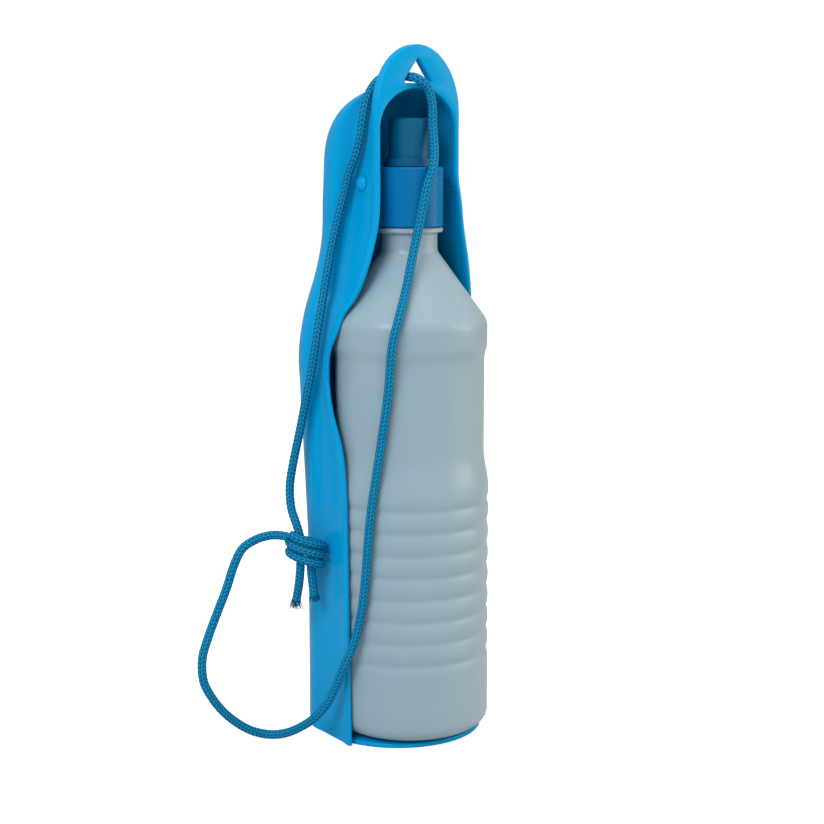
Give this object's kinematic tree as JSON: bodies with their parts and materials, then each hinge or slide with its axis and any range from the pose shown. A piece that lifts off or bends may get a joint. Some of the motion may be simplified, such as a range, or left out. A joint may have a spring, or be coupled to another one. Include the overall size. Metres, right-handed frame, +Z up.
{
  "type": "dog travel water bottle",
  "caption": "Squeeze bottle hinged in a drinking trough: it swings out of the scoop-shaped tray and screws into a capped nozzle, with a knotted carrying cord.",
  "frame": {"origin": "on the bottle's axis, on the surface that the trough's end shelf stands on", "axes": "+Z up along the bottle's axis, -Y out of the trough's open side, +X to the right when looking into the open side"},
  "size_m": [0.1225, 0.0659, 0.2739],
  "materials": {
    "trough_plastic": "satin blue moulded plastic",
    "bottle_plastic": "milky translucent blown plastic",
    "cap_plastic": "satin blue moulded plastic, a little see-through",
    "nozzle_plastic": "satin dark teal moulded plastic",
    "seal_rubber": "soft black rubber",
    "cord_fibre": "braided blue cord"
  },
  "bodies": {
    "trough_body": {"trough": "trough_plastic", "cord_front": "cord_fibre", "cord_back": "cord_fibre", "cord_knot": "cord_fibre", "cord_tail_left": "cord_fibre", "cord_tail_right": "cord_fibre"},
    "cap_body": {"cap": "cap_plastic", "nozzle_seal": "seal_rubber", "pivot_pin_left": "trough_plastic", "pivot_pin_right": "trough_plastic"},
    "nozzle_body": {"nozzle": "nozzle_plastic"},
    "thread_body": {"cap_washer": "seal_rubber"},
    "bottle_body": {"bottle": "bottle_plastic"}
  },
  "joints": [
    {"name": "bottle_swing", "type": "hinge", "parent": "trough_body", "child": "cap_body", "pos_m": [0, 0.0045, 0.221], "axis": [-1, 0, 0], "range_deg": [0, 115], "deforming": ["cord_front"]},
    {"name": "nozzle_turn", "type": "hinge", "parent": "cap_body", "child": "nozzle_body", "pos_m": [0, 0, 0.235], "axis": [0, 0, 1], "range_deg": [0, 90]},
    {"name": "bottle_drop", "type": "slide", "parent": "cap_body", "child": "thread_body", "axis": [0, 0, -1], "range_m": [0, 0.0012]},
    {"name": "bottle_turn", "type": "hinge", "parent": "thread_body", "child": "bottle_body", "pos_m": [0, 0, 0.2], "axis": [0, 0, -1], "range_deg": [0, 120]}
  ],
  "couplings": [
    {"joint": "bottle_drop", "follows": "bottle_turn", "m_per_rad": 0.000572}
  ]
}
